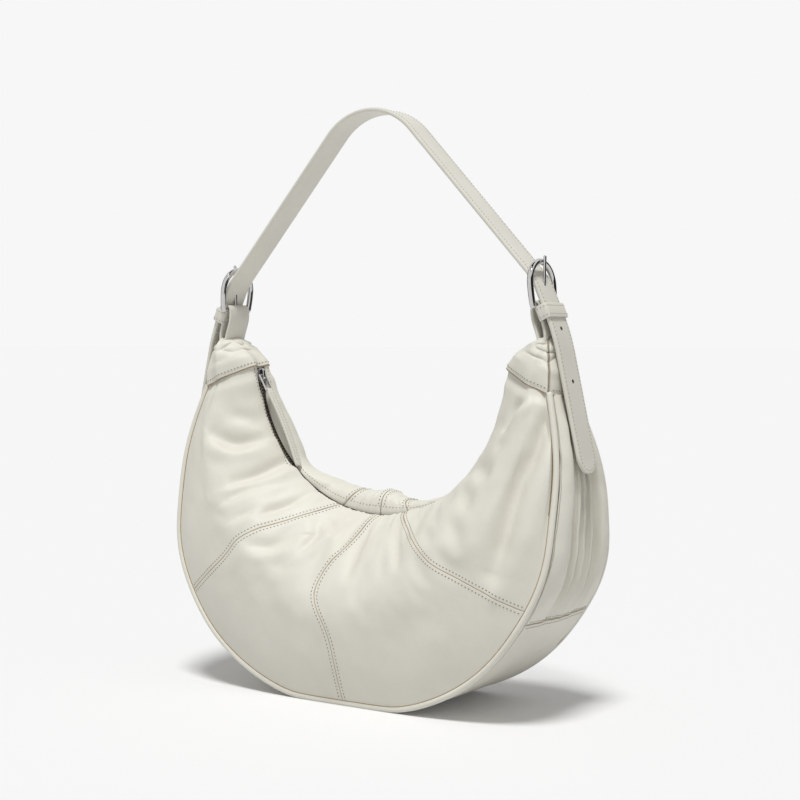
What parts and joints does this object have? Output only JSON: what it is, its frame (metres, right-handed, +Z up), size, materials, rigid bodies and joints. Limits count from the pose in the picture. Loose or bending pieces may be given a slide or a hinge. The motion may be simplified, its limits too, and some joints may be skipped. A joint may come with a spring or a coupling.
{
  "type": "half moon shoulder bag",
  "caption": "Crescent-shaped soft leather shoulder bag with a curved top zip, piped fan-seamed panels, a flat strap on buckles and hanging strap tails.",
  "frame": {"origin": "on the floor under the middle of the bag", "axes": "+X along the length to the right as seen from the front, +Y to the back, +Z up to the strap"},
  "size_m": [0.3616, 0.124, 0.4485],
  "materials": {
    "body_leather": "smooth, off-white",
    "strap_leather": "smooth, off-white, edge-stitched",
    "lining": "woven",
    "zip_tape": "woven",
    "zip_metal": "polished",
    "buckle_metal": "polished"
  },
  "bodies": {
    "shell": {"back_panel_left": "body_leather", "back_panel_lower_left": "body_leather", "back_panel_lower_right": "body_leather", "back_panel_right": "body_leather", "back_piping": "body_leather", "front_panel_left": "body_leather", "front_panel_lower_left": "body_leather", "front_panel_lower_right": "body_leather", "front_panel_right": "body_leather", "front_piping": "body_leather", "gusset_bottom": "body_leather", "gusset_left": "body_leather", "gusset_right": "body_leather", "left_chape": "strap_leather", "left_horn_cap": "body_leather", "left_horn_side_tab": "body_leather", "lining_back": "lining", "lining_bottom": "lining", "lining_front": "lining", "lining_left": "lining", "lining_right": "lining", "right_chape": "strap_leather", "right_horn_cap": "body_leather", "right_horn_side_tab": "body_leather", "zip_stop": "zip_metal"},
    "front_mouth": {"front_lip": "body_leather", "front_zip_tape": "zip_tape", "front_zip_teeth": "zip_metal"},
    "back_mouth": {"back_lip": "body_leather", "back_zip_tape": "zip_tape", "back_zip_teeth": "zip_metal"},
    "zip_slider": {"zip_slider": "zip_metal"},
    "zip_pull": {"pull_link": "zip_metal", "leather_pull": "strap_leather"},
    "handle": {"strap": "strap_leather", "left_strap_end": "strap_leather", "right_strap_end": "strap_leather", "left_buckle_frame": "buckle_metal", "right_buckle_frame": "buckle_metal", "left_buckle_bar": "buckle_metal", "right_buckle_bar": "buckle_metal"},
    "left_prong": {"left_prong": "buckle_metal"},
    "right_prong": {"right_prong": "buckle_metal"},
    "left_keeper": {"left_keeper": "strap_leather"},
    "right_keeper": {"right_keeper": "strap_leather"},
    "left_tail": {"left_strap_tail": "strap_leather"},
    "right_tail": {"right_strap_tail": "strap_leather"}
  },
  "joints": [
    {"name": "slider_travel", "type": "hinge", "parent": "shell", "child": "zip_slider", "pos_m": [0, 0, 0.256], "axis": [0, -1, 0], "range_deg": [0, 165], "deforming": ["front_zip_teeth", "back_zip_teeth", "front_zip_tape", "back_zip_tape"]},
    {"name": "front_mouth_swing", "type": "hinge", "parent": "shell", "child": "front_mouth", "pos_m": [0, 0, 0.2518], "axis": [-1, 0, 0], "range_deg": [0, 15]},
    {"name": "back_mouth_swing", "type": "hinge", "parent": "shell", "child": "back_mouth", "pos_m": [0, 0, 0.2518], "axis": [1, 0, 0], "range_deg": [0, 15]},
    {"name": "pull_swing", "type": "hinge", "parent": "zip_slider", "child": "zip_pull", "pos_m": [-0.1152, 0, 0.2442], "axis": [0, -1, 0], "range_deg": [0, 130]},
    {"name": "handle_swing", "type": "hinge", "parent": "shell", "child": "handle", "pos_m": [0, 0, 0.285], "axis": [1, 0, 0], "range_deg": [-38, 38], "deforming": ["left_chape", "right_chape"]},
    {"name": "left_prong_pivot", "type": "hinge", "parent": "handle", "child": "left_prong", "pos_m": [-0.1425, 0, 0.2965], "axis": [0, -1, 0], "range_deg": [0, 12], "deforming": ["left_strap_end"]},
    {"name": "left_keeper_slide", "type": "slide", "parent": "handle", "child": "left_keeper", "axis": [0.4083, 0, 0.9128], "range_m": [-0.0015, 0.0003]},
    {"name": "left_tail_flap", "type": "hinge", "parent": "handle", "child": "left_tail", "pos_m": [-0.15727, 0, 0.27791], "axis": [0, 1, 0], "range_deg": [0, 60]},
    {"name": "right_prong_pivot", "type": "hinge", "parent": "handle", "child": "right_prong", "pos_m": [0.1425, 0, 0.2965], "axis": [0, 1, 0], "range_deg": [0, 12], "deforming": ["right_strap_end"]},
    {"name": "right_keeper_slide", "type": "slide", "parent": "handle", "child": "right_keeper", "axis": [-0.4083, 0, 0.9128], "range_m": [-0.0015, 0.0003]},
    {"name": "right_tail_flap", "type": "hinge", "parent": "handle", "child": "right_tail", "pos_m": [0.15727, 0, 0.27791], "axis": [0, -1, 0], "range_deg": [0, 60]}
  ],
  "couplings": [
    {"joint": "front_mouth_swing", "follows": "slider_travel", "ratio": 0.090908},
    {"joint": "back_mouth_swing", "follows": "slider_travel", "ratio": 0.090908}
  ]
}
